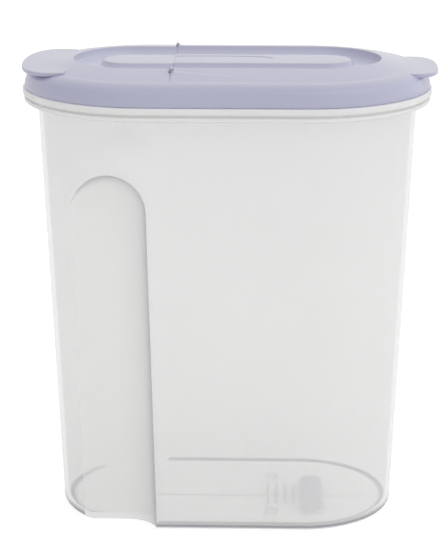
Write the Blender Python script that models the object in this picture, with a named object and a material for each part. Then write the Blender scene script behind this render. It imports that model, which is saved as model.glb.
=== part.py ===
"""Dry-food canister with a press-on lid and a flip-up pour flap.

A tapered tub with rounded ends and two grip recesses carries a press-on lid. The left part
of the lid is a flap that turns up on two short pins and uncovers the pour opening. A seal
ring sits between lid and tub, and another between flap and pour opening.

Frame: origin at the centre of the tub's base, +Z up, +X towards the lid's lift tab,
-Y towards the front. Every length is in metres.
"""
import math

import bmesh
import bpy
from mathutils import Matrix

# Shared
GAP = 0.0003                     # play between pieces that touch
END_STEPS = 20                   # facets in each half-round end
HALF_RUN = 0.038                 # half of the straight run between the rounded ends

# Tub
TUB_RADIUS = 0.0461              # end radius of the outer wall at the base
TUB_DRAFT = 0.0409               # growth of that radius for each metre of height
TUB_WALL = 0.0022
TUB_FLOOR = 0.0024
BASE_FILLET = 0.004
FLOOR_FILLET = 0.003
FILLET_STEPS = 4
FLANGE_ROOT_Z = 0.2095
FLANGE_BOTTOM_Z = 0.2106
FLANGE_TOP_Z = 0.2171
FLANGE_RADIUS = 0.0619
LOWER_BEAD_RADIUS = 0.0613
GROOVE_RADIUS = 0.0604
GROOVE_LOW_Z = 0.2128
GROOVE_HIGH_Z = 0.2137
RIM_ROUND = 0.0006               # size of the rim's small chamfers
NECK_RADIUS = 0.0570
NECK_BORE = 0.0546
BORE_ROOT_Z = 0.2085             # where the tapered inside starts to open into the bore
BORE_Z = 0.2120
NECK_TOP_Z = 0.2226
SNAP_BEAD = 0.0006               # how far the ridges of neck and skirt stand out
SNAP_Z = 0.2202                  # lower end of the neck's ridge
SNAP_LENGTH = 0.0005             # flat part of a ridge

# Grip recesses, one in the front wall and one mirrored in the rear wall
GRIP_CENTRE_X = -0.0556
GRIP_RADIUS = 0.0185             # radius of the arched top
GRIP_ARCH_Z = 0.1645             # height of the arch's centre
GRIP_SPREAD = 0.0205             # widening of the right edge for each metre below the arch
GRIP_DEPTH = 0.014
GRIP_SIDE_SWEEP = 0.017          # width of the curved side wall
GRIP_TOP_SWEEP = 0.009           # height of the curved top wall
GRIP_STEPS = 6
GRIP_REACH = 0.02                # how far the cutters stand outside the wall
GRIP_FOOT_Z = -0.010             # lower end of the cutters

# Lid
LID_BOTTOM_Z = 0.2175
LID_RADIUS = 0.0610
LID_WALL = 0.0018
SKIRT_STRAIGHT = 0.0025          # height of the skirt's nearly upright stretch
SKIRT_DRAFT = 0.0002
BEVEL_STEPS = 5
SHOULDER_Z = 0.2225              # where the skirt starts to round over
SHOULDER_RADIUS = 0.0599
TOP_EDGE_RADIUS = 0.0505
TOP_EDGE_Z = 0.2274
CREST_RUN = 0.045
CREST_RADIUS = 0.030
CREST_Z = 0.2307
WELL_RUN = 0.047
WELL_RADIUS = 0.0278
WELL_Z = 0.2263
ISLAND_RUN = 0.048
ISLAND_FOOT_RADIUS = 0.0140
ISLAND_RADIUS = 0.0123
ISLAND_Z = 0.22965
TOP_ROUND = 0.0004               # half width of the small chamfers on crest and island
SNAP_CLEARANCE = 0.0004          # the skirt's ridge starts this far above its edge
LID_ROOF_Z = 0.2215              # where the hollow starts to close in on the seal
SEAT_CLEARANCE = 0.0007
LID_SEAT_Z = 0.2243              # flat underside that presses on the seal
LID_SEAT_RADIUS = 0.0540
TAB_THICKNESS = 0.0019
LIFT_TAB_Z = 0.2269
LIFT_TAB_X = 0.0895
LIFT_TAB_HALF_X = 0.0130
LIFT_TAB_HALF_Y = 0.0240
LIFT_TAB_SQUARENESS = 2.8

# Pour flap and the sunken deck under it
SEAM_X = -0.0255                 # left face of the fixed part of the lid
FLAP_DROP = 0.00035              # the flap sits this much lower than the fixed part
LEDGE_Z = 0.2255
LEDGE_RADIUS = 0.0507
LEDGE_BLOCK_RADIUS = 0.0530
SUMP_Z = 0.2225
SUMP_RADIUS = 0.0460
DECK_WALL = 0.0016
FLAP_FLOOR_Z = 0.2247            # underside of the flap's well
TONGUE_Z = 0.2283
TONGUE_X = -0.0830
TONGUE_HALF_X = 0.0168
TONGUE_HALF_Y = 0.0335
TONGUE_SQUARENESS = 2.3
TONGUE_ROOT_X = -0.0765          # the tongue ends here, inside the flap's shoulder
TONGUE_CLEARANCE = 0.0004

# Pour opening: a rounded oblong, half sizes along X and Y
SPOUT_X = -0.0570
SPOUT_HALF_X = 0.0200
SPOUT_HALF_Y = 0.0320
SPOUT_SQUARENESS = 3.0
COLLAR_WALL = 0.0012
COLLAR_TOP_Z = 0.2234
PLUG_GAP = 0.0007
PLUG_BOTTOM_Z = 0.2216
PLUG_WALL = 0.0020
PLUG_RIM = 0.0018                # how far the plug's root reaches into the flap's floor
PLUG_ROOT = 0.0013

# Hinge of the flap
HINGE_Z = 0.2304
HINGE_X = SEAM_X - GAP / 2
KNUCKLE_RADIUS = 0.00095
BORE_RADIUS = 0.0006
PIN_RADIUS = 0.0004
KNUCKLE_SPANS = ((0.0310, 0.0323), (0.0326, 0.0352), (0.0355, 0.0368))   # lid, flap, lid
PIN_SPAN = (0.0312, 0.0366)
BORE_SPAN = (0.0300, 0.0378)
LEAF_START = 0.0004
LEAF_END = 0.0032
LEAF_TOP = 0.0016                # of the leaf's far end, below the hinge line
LEAF_DEPTH = 0.0030
NOTCH_REACH = 0.0013             # of the notches around the other piece's knuckles
FLAP_NOTCH_DEPTH = 0.0034
HINGE_STEPS = 16

# Seals
LID_SEAL_OUTER = 0.0570
LID_SEAL_INNER = 0.0548
FLAP_SEAL_REACH = 0.0015         # past the edge of the pour opening

FAR = 0.30                       # past the object in every direction
BELOW_LID_Z = 0.200              # below everything that belongs to the lid
SHARP_ANGLE = math.radians(35)   # edges bent more than this stay sharp in the shading
OFFSET = 0.0002                  # keeps neighbouring cutting faces out of one plane
FLATNESS = 0.0001                # radians; a face more bent than this is split


def tub_radius(z):
    """End radius of the tub's outer wall at height z."""
    return TUB_RADIUS + TUB_DRAFT * z


# Outlines -------------------------------------------------------------------------------

def stadium(half_run, radius, z):
    """Points of an outline with two half-round ends, seen from above."""
    points = []
    for side in (1, -1):
        for step in range(END_STEPS + 1):
            angle = math.pi * (step / END_STEPS - 0.5)
            x = side * (half_run + radius * math.cos(angle))
            points.append((x, side * radius * math.sin(angle), z))
    return points


def left_end(radius, z, right_x):
    """The left end of a stadium, cut off by a straight edge at right_x."""
    points = [(right_x, radius, z)]
    for step in range(END_STEPS + 1):
        angle = math.pi * (step / END_STEPS + 0.5)
        points.append((-HALF_RUN + radius * math.cos(angle), radius * math.sin(angle), z))
    points.append((right_x, -radius, z))
    return points


def oblong(centre_x, half_x, half_y, squareness, z, steps=36):
    """A superellipse, between an ellipse and a rectangle."""
    points = []
    for step in range(steps):
        angle = 2 * math.pi * step / steps
        cos, sin = math.cos(angle), math.sin(angle)
        x = math.copysign(abs(cos) ** (2 / squareness), cos)
        y = math.copysign(abs(sin) ** (2 / squareness), sin)
        points.append((centre_x + half_x * x, half_y * y, z))
    return points


def spout(grow, z):
    """Outline of the pour opening, grown by the given distance."""
    return oblong(SPOUT_X, SPOUT_HALF_X + grow, SPOUT_HALF_Y + grow, SPOUT_SQUARENESS, z)


# Objects --------------------------------------------------------------------------------

def start_scene():
    """Empty the scene and make the two collections."""
    for item in list(bpy.data.objects):
        bpy.data.objects.remove(item, do_unlink=True)
    collections = {}
    for name in ("food_canister", "cutters"):
        collections[name] = bpy.data.collections.new(name)
        bpy.context.scene.collection.children.link(collections[name])
    return collections


def add_object(name, mesh, cutter=False, pivot=(0.0, 0.0, 0.0)):
    """Put a mesh in the scene, shaded smooth, with its origin moved to the pivot."""
    mesh.transform(Matrix.Translation(pivot).inverted())
    mesh.shade_smooth()
    mesh.set_sharp_from_angle(angle=SHARP_ANGLE)
    item = bpy.data.objects.new(name, mesh)
    item.location = pivot
    group = "cutters" if cutter else "food_canister"
    bpy.data.collections[group].objects.link(item)
    if cutter:
        item.hide_render = True
        item.display_type = "WIRE"
    return item


def loft(name, sections, cutter=True, pivot=(0.0, 0.0, 0.0)):
    """Closed solid through a stack of outlines that have the same number of points."""
    shape = bmesh.new()
    rings = [[shape.verts.new(point) for point in section] for section in sections]
    count = len(rings[0])
    for lower, upper in zip(rings, rings[1:]):
        for index in range(count):
            after = (index + 1) % count
            shape.faces.new((lower[index], lower[after], upper[after], upper[index]))
    shape.faces.new(reversed(rings[0]))
    shape.faces.new(rings[-1])
    bmesh.ops.recalc_face_normals(shape, faces=shape.faces)
    bmesh.ops.connect_verts_nonplanar(shape, angle_limit=FLATNESS, faces=shape.faces)
    mesh = bpy.data.meshes.new(name)
    shape.to_mesh(mesh)
    shape.free()
    return add_object(name, mesh, cutter, pivot)


def tube_ring(name, outer, inner, cutter=True, pivot=(0.0, 0.0, 0.0)):
    """Closed ring between stacked outer outlines and the inner outlines at the same places."""
    shape = bmesh.new()
    loop = [[shape.verts.new(point) for point in section] for section in outer + inner[::-1]]
    count = len(loop[0])
    for lower, upper in zip(loop, loop[1:] + loop[:1]):
        for index in range(count):
            after = (index + 1) % count
            shape.faces.new((lower[index], lower[after], upper[after], upper[index]))
    bmesh.ops.recalc_face_normals(shape, faces=shape.faces)
    mesh = bpy.data.meshes.new(name)
    shape.to_mesh(mesh)
    shape.free()
    return add_object(name, mesh, cutter, pivot)


def block(name, low, high):
    """Box cutter between two corners."""
    shape = bmesh.new()
    bmesh.ops.create_cube(shape, size=1.0)
    for vertex in shape.verts:
        for axis in range(3):
            share = vertex.co[axis] + 0.5
            vertex.co[axis] = low[axis] + share * (high[axis] - low[axis])
    mesh = bpy.data.meshes.new(name)
    shape.to_mesh(mesh)
    shape.free()
    return add_object(name, mesh, cutter=True)


def rod(name, radius, low_y, high_y, cutter=True):
    """Cylinder on the flap's hinge line between two places along Y."""
    bpy.ops.mesh.primitive_cylinder_add(vertices=HINGE_STEPS, radius=radius,
                                        depth=high_y - low_y)
    mesh = bpy.context.object.data
    bpy.data.objects.remove(bpy.context.object, do_unlink=True)
    mesh.transform(Matrix.Rotation(math.radians(-90), 4, "X"))
    item = add_object(name, mesh, cutter)
    item.location = (HINGE_X, (low_y + high_y) / 2, HINGE_Z)
    return item


def combine(item, operation, tools, solver="EXACT"):
    """Add one live Boolean for each tool."""
    for tool in tools:
        step = item.modifiers.new(f"{operation.lower()}_{tool.name}", "BOOLEAN")
        step.operation = operation
        step.solver = solver
        step.object = tool
    return item


def paint(item, colour, roughness, alpha=1.0):
    """Give an object its own moulded-plastic material."""
    material = bpy.data.materials.new(item.name)
    material.use_nodes = True
    shader = material.node_tree.nodes["Principled BSDF"]
    shader.inputs["Base Color"].default_value = (*colour, 1.0)
    shader.inputs["Roughness"].default_value = roughness
    shader.inputs["Metallic"].default_value = 0.0
    shader.inputs["Alpha"].default_value = alpha
    item.data.materials.clear()
    item.data.materials.append(material)


# Tub ------------------------------------------------------------------------------------

def fillet_sections(radius, floor_z, fillet):
    """Outlines of a rounded bottom edge, from the flat floor up to the wall."""
    sections = []
    for step in range(FILLET_STEPS + 1):
        angle = math.pi / 2 * step / FILLET_STEPS
        inset = fillet * (1 - math.sin(angle))
        rise = fillet * (1 - math.cos(angle))
        sections.append(stadium(HALF_RUN, radius - inset, floor_z + rise))
    return sections


def grip_tool(name, side, grow):
    """Scoop that cuts one grip recess: outlines seen from the side, stacked in depth."""
    radius = GRIP_RADIUS + grow
    sections = []
    depths = [(-GRIP_REACH, 0.0)]
    for step in range(GRIP_STEPS + 1):
        angle = math.pi / 2 * step / GRIP_STEPS
        depths.append(((GRIP_DEPTH + grow) * math.sin(angle), 1 - math.cos(angle)))
    for depth, share in depths:
        right = radius - share * GRIP_SIDE_SWEEP
        top = radius - share * GRIP_TOP_SWEEP
        foot_x = GRIP_CENTRE_X + right + GRIP_SPREAD * (GRIP_ARCH_Z - GRIP_FOOT_Z)
        outline = [(GRIP_CENTRE_X - radius, GRIP_FOOT_Z), (foot_x, GRIP_FOOT_Z)]
        for step in range(2 * GRIP_STEPS + 1):
            angle = math.pi / 2 * step / GRIP_STEPS
            reach = right if angle < math.pi / 2 else radius
            outline.append((GRIP_CENTRE_X + reach * math.cos(angle),
                            GRIP_ARCH_Z + top * math.sin(angle)))
        sections.append([(x, side * (tub_radius(z) - depth), z) for x, z in outline])
    return loft(name, sections)


def make_tub():
    """Tub with flange, neck and both grip recesses."""
    outer = fillet_sections(tub_radius(BASE_FILLET), 0.0, BASE_FILLET)
    snap_low = SNAP_Z + SNAP_BEAD
    snap_high = snap_low + SNAP_LENGTH
    rim = ((tub_radius(FLANGE_ROOT_Z), FLANGE_ROOT_Z),
           (LOWER_BEAD_RADIUS - RIM_ROUND, FLANGE_BOTTOM_Z),
           (LOWER_BEAD_RADIUS, FLANGE_BOTTOM_Z + RIM_ROUND),
           (LOWER_BEAD_RADIUS, GROOVE_LOW_Z - RIM_ROUND),
           (GROOVE_RADIUS, GROOVE_LOW_Z),
           (GROOVE_RADIUS, GROOVE_HIGH_Z),
           (FLANGE_RADIUS, GROOVE_HIGH_Z + RIM_ROUND),
           (FLANGE_RADIUS, FLANGE_TOP_Z - RIM_ROUND),
           (FLANGE_RADIUS - RIM_ROUND, FLANGE_TOP_Z),
           (NECK_RADIUS, FLANGE_TOP_Z),
           (NECK_RADIUS, SNAP_Z),
           (NECK_RADIUS + SNAP_BEAD, snap_low),
           (NECK_RADIUS + SNAP_BEAD, snap_high),
           (NECK_RADIUS, snap_high + SNAP_BEAD),
           (NECK_RADIUS - RIM_ROUND, NECK_TOP_Z))
    outer += [stadium(HALF_RUN, radius, z) for radius, z in rim]
    tub = loft("tub", outer, cutter=False)

    start = TUB_FLOOR + FLOOR_FILLET
    inner = fillet_sections(tub_radius(start) - TUB_WALL, TUB_FLOOR, FLOOR_FILLET)
    mouth = ((tub_radius(BORE_ROOT_Z) - TUB_WALL, BORE_ROOT_Z), (NECK_BORE, BORE_Z),
             (NECK_BORE, FAR))
    inner += [stadium(HALF_RUN, radius, z) for radius, z in mouth]
    hollow = loft("tub_hollow", inner)

    for side, place in ((-1, "front"), (1, "rear")):
        combine(hollow, "DIFFERENCE", [grip_tool(f"grip_wall_{place}", side, TUB_WALL)])
        combine(tub, "DIFFERENCE", [grip_tool(f"grip_{place}", side, 0.0)])
    combine(tub, "DIFFERENCE", [hollow])
    paint(tub, (0.84, 0.84, 0.85), 0.35, alpha=0.5)
    return tub


# Lid ------------------------------------------------------------------------------------

def top_sections(drop=0.0):
    """Outlines of the moulded top, from its outer edge to the middle of the island."""
    rows = ((HALF_RUN, TOP_EDGE_RADIUS, TOP_EDGE_Z),
            (CREST_RUN, CREST_RADIUS + TOP_ROUND, CREST_Z - drop),
            (CREST_RUN, CREST_RADIUS - TOP_ROUND, CREST_Z - drop),
            (WELL_RUN, WELL_RADIUS, WELL_Z),
            (ISLAND_RUN, ISLAND_FOOT_RADIUS, WELL_Z),
            (ISLAND_RUN, ISLAND_RADIUS + TOP_ROUND, ISLAND_Z - drop - TOP_ROUND),
            (ISLAND_RUN, ISLAND_RADIUS - TOP_ROUND, ISLAND_Z - drop))
    return [stadium(run, radius, z) for run, radius, z in rows]


def lid_outer(name, cutter, drop=0.0):
    """Solid under the lid's whole outer surface."""
    sections = [stadium(HALF_RUN, LID_RADIUS, LID_BOTTOM_Z),
                stadium(HALF_RUN, LID_RADIUS - SKIRT_DRAFT, LID_BOTTOM_Z + SKIRT_STRAIGHT)]
    for step in range(BEVEL_STEPS):
        angle = math.pi / 2 * step / BEVEL_STEPS
        reach = (SHOULDER_RADIUS - TOP_EDGE_RADIUS) * math.cos(angle)
        rise = (TOP_EDGE_Z - SHOULDER_Z) * math.sin(angle)
        sections.append(stadium(HALF_RUN, TOP_EDGE_RADIUS + reach, SHOULDER_Z + rise))
    return loft(name, sections + top_sections(drop), cutter)


def underside_sections(drop=0.0):
    """Underside of crest, well and island, one wall below the top."""
    rows = ((CREST_RUN, CREST_RADIUS + LID_WALL, CREST_Z - drop - LID_WALL),
            (WELL_RUN, WELL_RADIUS + LID_WALL, FLAP_FLOOR_Z),
            (WELL_RUN, ISLAND_FOOT_RADIUS - LID_WALL, FLAP_FLOOR_Z),
            (WELL_RUN, ISLAND_RADIUS - LID_WALL, ISLAND_Z - drop - LID_WALL))
    return [stadium(run, radius, z) for run, radius, z in rows]


def make_lid_hollow():
    """Hollow under the lid, less what the deck below the flap fills."""
    wide = LID_RADIUS - LID_WALL
    narrow = NECK_RADIUS + 2 * SNAP_BEAD
    ridge_start = LID_BOTTOM_Z + SNAP_CLEARANCE
    ridge_low = ridge_start + SNAP_BEAD
    ridge_high = ridge_low + SNAP_LENGTH
    rows = ((wide, BELOW_LID_Z),
            (wide, ridge_start),
            (narrow, ridge_low),
            (narrow, ridge_high),
            (wide, ridge_high + SNAP_BEAD),
            (wide, LID_ROOF_Z),
            (NECK_RADIUS + SEAT_CLEARANCE, LID_SEAT_Z),
            (LID_SEAT_RADIUS, LID_SEAT_Z),
            (TOP_EDGE_RADIUS - TAB_THICKNESS / 2, TOP_EDGE_Z - LID_WALL))
    sections = [stadium(HALF_RUN, radius, z) for radius, z in rows]
    hollow = loft("lid_hollow", sections + underside_sections())
    deck_right = SEAM_X + DECK_WALL
    deck_low = SUMP_Z - DECK_WALL
    ledge_low = LEDGE_Z - DECK_WALL
    deck = loft("deck_block", [left_end(SUMP_RADIUS + DECK_WALL, deck_low, deck_right - OFFSET),
                               left_end(SUMP_RADIUS + DECK_WALL, ledge_low, deck_right - OFFSET),
                               left_end(LEDGE_BLOCK_RADIUS, ledge_low, deck_right),
                               left_end(LEDGE_BLOCK_RADIUS, FAR, deck_right)])
    return combine(hollow, "DIFFERENCE", [deck], "MANIFOLD")


def make_deck_pocket():
    """Room for the flap: a ledge for its edge, a sump below it, and the spout's collar."""
    pocket = loft("deck_pocket", [left_end(SUMP_RADIUS, SUMP_Z, SEAM_X - OFFSET),
                                  left_end(SUMP_RADIUS, LEDGE_Z, SEAM_X - OFFSET),
                                  left_end(LEDGE_RADIUS, LEDGE_Z, SEAM_X),
                                  left_end(LEDGE_RADIUS, FAR, SEAM_X)])
    collar = loft("collar_block", [spout(COLLAR_WALL, BELOW_LID_Z),
                                   spout(COLLAR_WALL, COLLAR_TOP_Z)])
    return combine(pocket, "DIFFERENCE", [collar], "MANIFOLD")


def knuckle_y(side, span):
    """Low and high Y of a knuckle's span on the front (-1) or rear (+1) side."""
    first, last = side * span[0], side * span[1]
    return min(first, last), max(first, last)


def knuckle(name, side, span, leaf_side):
    """Barrel on the hinge line with a leaf down into the piece that carries it.

    leaf_side is +1 for a leaf towards +X and -1 for one towards -X.
    """
    outline = []
    half_turn = HINGE_STEPS // 2
    for step in range(half_turn + 1):
        angle = math.pi * (step / half_turn + 0.5)
        outline.append((KNUCKLE_RADIUS * math.cos(angle), KNUCKLE_RADIUS * math.sin(angle)))
    outline += [(LEAF_START, -KNUCKLE_RADIUS), (LEAF_START, -LEAF_DEPTH),
                (LEAF_END, -LEAF_DEPTH), (LEAF_END, -LEAF_TOP),
                (KNUCKLE_RADIUS, -KNUCKLE_RADIUS / 2)]
    sections = [[(HINGE_X + leaf_side * x, y, HINGE_Z + z) for x, z in outline]
                for y in knuckle_y(side, span)]
    return loft(name, sections)


def lid_knuckles(side, place):
    """The two fixed knuckles of one hinge."""
    return [knuckle(f"lid_knuckle_{place}_{index}", side, KNUCKLE_SPANS[index], 1)
            for index in (0, 2)]


def make_lid():
    """Press-on lid: skirt, top, lift tab, deck, spout collar and fixed knuckles.

    Its surfaces meet at very flat angles, which the MANIFOLD solver joins cleanly.
    """
    lid = lid_outer("lid_body", cutter=False)
    tab_sections = [oblong(LIFT_TAB_X, LIFT_TAB_HALF_X, LIFT_TAB_HALF_Y, LIFT_TAB_SQUARENESS, z)
                    for z in (LIFT_TAB_Z - TAB_THICKNESS, LIFT_TAB_Z)]
    combine(lid, "UNION", [loft("lift_tab", tab_sections)], "MANIFOLD")
    room_sections = tongue_outlines(TONGUE_CLEARANCE, TONGUE_Z - TAB_THICKNESS - GAP, FAR)
    tools = [make_lid_hollow(), make_deck_pocket(), loft("tongue_room", room_sections),
             loft("spout_hole", [spout(0.0, BELOW_LID_Z), spout(0.0, FAR)])]
    combine(lid, "DIFFERENCE", tools, "MANIFOLD")
    for side, place in ((-1, "front"), (1, "rear")):
        low_y, high_y = knuckle_y(side, KNUCKLE_SPANS[1])
        notch = block(f"lid_notch_{place}",
                      (SEAM_X - NOTCH_REACH, low_y - GAP, HINGE_Z - NOTCH_REACH),
                      (SEAM_X + NOTCH_REACH, high_y + GAP, FAR))
        combine(lid, "DIFFERENCE", [notch], "MANIFOLD")
        combine(lid, "UNION", lid_knuckles(side, place), "MANIFOLD")
        bore = rod(f"lid_bore_{place}", BORE_RADIUS, *knuckle_y(side, BORE_SPAN))
        combine(lid, "DIFFERENCE", [bore], "MANIFOLD")
    paint(lid, (0.46, 0.45, 0.60), 0.40)
    return lid


# Flap -----------------------------------------------------------------------------------

def tongue_outlines(grow, low_z, high_z):
    """Two outlines of the flap's wide thumb tongue."""
    return [oblong(TONGUE_X, TONGUE_HALF_X + grow, TONGUE_HALF_Y + grow, TONGUE_SQUARENESS, z)
            for z in (low_z, high_z)]


def make_flap():
    """Flip-up flap: shell, thumb tongue, plug ring and moving knuckles."""
    right_x = SEAM_X - GAP
    edge_radius = LEDGE_RADIUS - GAP
    edge_low = LEDGE_Z + GAP
    inside = SUMP_RADIUS - 2 * GAP
    pivot = (HINGE_X, 0.0, HINGE_Z)
    flap = loft("pour_flap", [left_end(inside, FLAP_FLOOR_Z, right_x - OFFSET),
                              left_end(inside, edge_low, right_x - OFFSET),
                              left_end(edge_radius, edge_low, right_x),
                              left_end(edge_radius, FAR, right_x)], cutter=False, pivot=pivot)
    combine(flap, "INTERSECT", [lid_outer("flap_top", cutter=True, drop=FLAP_DROP)])

    sections = [stadium(HALF_RUN, inside - LID_WALL, z)
                for z in (BELOW_LID_Z, edge_low, TOP_EDGE_Z - LID_WALL / 2)]
    hollow = loft("flap_hollow", sections + underside_sections(FLAP_DROP))
    rib = block("flap_hinge_rib", (right_x - LID_WALL, -inside, FLAP_FLOOR_Z), (0.0, inside, FAR))
    combine(hollow, "DIFFERENCE", [rib])
    combine(flap, "DIFFERENCE", [hollow])

    tongue = loft("tongue", tongue_outlines(0.0, TONGUE_Z - TAB_THICKNESS, TONGUE_Z))
    tongue_trim = block("tongue_trim", (TONGUE_ROOT_X, -FAR, -FAR), (FAR, FAR, FAR))
    combine(tongue, "DIFFERENCE", [tongue_trim])
    plug_outer = [spout(-PLUG_GAP, PLUG_BOTTOM_Z), spout(-PLUG_GAP, FLAP_FLOOR_Z),
                  spout(PLUG_RIM, FLAP_FLOOR_Z), spout(PLUG_RIM, FLAP_FLOOR_Z + PLUG_ROOT)]
    plug = loft("plug_ring", plug_outer)
    bore = -PLUG_GAP - PLUG_WALL
    combine(plug, "DIFFERENCE", [loft("plug_bore", [spout(bore, BELOW_LID_Z), spout(bore, FAR)])])
    combine(flap, "UNION", [tongue, plug])

    for side, place in ((-1, "front"), (1, "rear")):
        for index in (0, 2):
            low_y, high_y = knuckle_y(side, KNUCKLE_SPANS[index])
            notch = block(f"flap_notch_{place}_{index}",
                          (HINGE_X - NOTCH_REACH, low_y - GAP, HINGE_Z - FLAP_NOTCH_DEPTH),
                          (0.0, high_y + GAP, FAR))
            combine(flap, "DIFFERENCE", [notch])
        combine(flap, "UNION", [knuckle(f"flap_knuckle_{place}", side, KNUCKLE_SPANS[1], -1)])
        flap_bore = rod(f"flap_bore_{place}", BORE_RADIUS, *knuckle_y(side, BORE_SPAN))
        combine(flap, "DIFFERENCE", [flap_bore])
    paint(flap, (0.50, 0.49, 0.63), 0.40)
    return flap


# Small pieces ---------------------------------------------------------------------------

def make_lid_seal():
    """Seal ring between the tub's neck and the lid."""
    low_z, high_z = NECK_TOP_Z + GAP, LID_SEAT_Z - GAP
    outer = [stadium(HALF_RUN, LID_SEAL_OUTER, z) for z in (low_z, high_z)]
    inner = [stadium(HALF_RUN, LID_SEAL_INNER, z) for z in (low_z, high_z)]
    seal = tube_ring("lid_seal", outer, inner, cutter=False)
    paint(seal, (0.75, 0.75, 0.76), 0.5)


def make_flap_seal():
    """Flat seal ring around the flap's plug, resting on the spout's collar."""
    low_z, high_z = COLLAR_TOP_Z + GAP, FLAP_FLOOR_Z - GAP
    outer = [spout(FLAP_SEAL_REACH, z) for z in (low_z, high_z)]
    inner = [spout(-PLUG_GAP + GAP, z) for z in (low_z, high_z)]
    seal = tube_ring("flap_seal", outer, inner, cutter=False, pivot=(HINGE_X, 0.0, HINGE_Z))
    paint(seal, (0.75, 0.75, 0.76), 0.5)


def make_hinge_pins():
    """One short pin through the knuckles at each end of the hinge line."""
    for side, place in ((-1, "front"), (1, "rear")):
        pin = rod(f"hinge_pin_{place}", PIN_RADIUS, *knuckle_y(side, PIN_SPAN), cutter=False)
        paint(pin, (0.70, 0.70, 0.72), 0.35)


def main():
    start_scene()
    make_tub()
    make_lid()
    make_flap()
    make_lid_seal()
    make_flap_seal()
    make_hinge_pins()


main()
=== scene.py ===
"""Looks of the dry-food canister: tub, press-on lid, pour flap, seals, hinge pins and stage.

Laid out as a Blender add-on and run as a script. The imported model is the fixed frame, and
every piece here is made in that frame, in metres, with +Z up and the front at -Y.
"""
import math

import bmesh
import bpy
from bpy.props import FloatProperty, FloatVectorProperty, IntProperty, PointerProperty
from mathutils import Matrix, Vector


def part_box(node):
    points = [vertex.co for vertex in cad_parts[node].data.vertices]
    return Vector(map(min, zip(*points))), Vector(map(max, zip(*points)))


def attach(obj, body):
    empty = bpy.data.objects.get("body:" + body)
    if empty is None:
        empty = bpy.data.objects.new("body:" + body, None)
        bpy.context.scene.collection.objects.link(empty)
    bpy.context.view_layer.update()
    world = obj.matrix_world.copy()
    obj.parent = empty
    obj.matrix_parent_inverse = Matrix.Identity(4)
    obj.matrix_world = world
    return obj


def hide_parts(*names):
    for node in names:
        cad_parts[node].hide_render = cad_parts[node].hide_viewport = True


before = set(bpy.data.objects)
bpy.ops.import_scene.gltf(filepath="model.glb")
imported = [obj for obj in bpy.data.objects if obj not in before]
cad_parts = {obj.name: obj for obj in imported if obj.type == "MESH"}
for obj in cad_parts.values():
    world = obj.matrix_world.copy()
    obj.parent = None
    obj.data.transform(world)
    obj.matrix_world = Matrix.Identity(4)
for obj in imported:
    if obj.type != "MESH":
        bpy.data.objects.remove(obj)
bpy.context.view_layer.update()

bl_info = {
    "name": "Food Canister",
    "version": (1, 0, 0),
    "blender": (4, 5, 0),
    "location": "View3D > Sidebar > Canister",
    "description": "Builds a dry-food canister with a press-on lid and a flip-up pour flap",
    "category": "Add Mesh",
}

# Shared sizes, in metres
GAP = 0.0003                     # play between pieces that touch
HALF_RUN = 0.038                 # half of the straight run between the rounded ends
FAR = 0.30                       # past the object in every direction
OFFSET = 0.0002                  # keeps neighbouring cutting faces out of one plane
SHARP_ANGLE = math.radians(32)
MERGE_DISTANCE = 2e-6            # points closer than this become one
HINGE_LINE_STEPS = 32            # facets round a pin or a bore

# Tub
TUB_RADIUS = 0.0461              # end radius of the outer wall at the base
TUB_DRAFT = 0.0409               # growth of that radius for each metre of height
TUB_WALL = 0.0022
TUB_FLOOR = 0.0024
WALL_TOP_Z = 0.2095              # where the tapered wall ends under the bead
FOOT_ROUND = 0.0038
BEAD_RADIUS = 0.0613
BEAD_LOW_Z = 0.2108
BEAD_HIGH_Z = 0.2127
GROOVE_RADIUS = 0.0604
GROOVE_LOW_Z = 0.2130
GROOVE_HIGH_Z = 0.2136
FLANGE_RADIUS = 0.0619
FLANGE_LOW_Z = 0.2140
FLANGE_TOP_Z = 0.2171
NECK_RADIUS = 0.0570
NECK_BORE = 0.0546
NECK_TOP_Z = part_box("tub")[1][2]
SNAP_BEAD = 0.0006
SNAP_LOW_Z = 0.2202
SNAP_HIGH_Z = 0.2213
HOLLOW_TOP_Z = 0.2085            # where the hollow stops following the tapered wall
HOLLOW_NECK_Z = 0.2120
HOLLOW_CENTRE_RADIUS = 0.030
HOLLOW_FOOT_ROUND = 0.0030
NECK_CHAMFER = 0.0003
GRIP_X = -0.0556
GRIP_RADIUS = 0.0185
GRIP_ARCH_Z = 0.1645
GRIP_SPREAD = 0.0205             # widening of the right edge for each metre below the arch
GRIP_DEPTH = 0.014
GRIP_SIDE_SWEEP = 0.017
GRIP_TOP_SWEEP = 0.009
GRIP_REACH = 0.02
GRIP_FOOT_Z = -0.010
GRIP_STEPS = 16

# Lid
LID_BOTTOM_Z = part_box("lid_body")[0][2]
LID_RADIUS = 0.0610
LID_WALL = 0.0018
LID_EDGE = 0.0004                # chamfer at the foot of the skirt
SKIRT_DRAFT = 0.0002
SKIRT_DRAFT_RISE = 0.0025
SHOULDER_STEPS = 12
SHOULDER_Z = 0.2225
SHOULDER_RADIUS = 0.0599
TOP_EDGE_RADIUS = 0.0505
TOP_EDGE_Z = 0.2274
CREST_RUN = 0.045
CREST_RADIUS = 0.030
CREST_Z = 0.2307
WELL_RUN = 0.047
WELL_RADIUS = 0.0278
WELL_Z = 0.2263
ISLAND_RUN = 0.048
ISLAND_FOOT_RADIUS = 0.0140
ISLAND_RADIUS = 0.0123
ISLAND_Z = 0.22965
INLAY_X = -0.0065
INLAY_HALF_X = 0.0293
INLAY_HALF_Y = 0.0078
INLAY_SQUARENESS = 3.2
INLAY_DEPTH = 0.00015
INLAY_EDGE = 0.0003
LID_SEAT_Z = 0.2243
LID_SEAT_RADIUS = 0.0540
LID_HOLLOW_TOP_Z = 0.2215
SNAP_RIDGE_HEIGHT = 0.0005
SEAT_PLAY = 0.0007
TAB_THICKNESS = 0.0019
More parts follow.
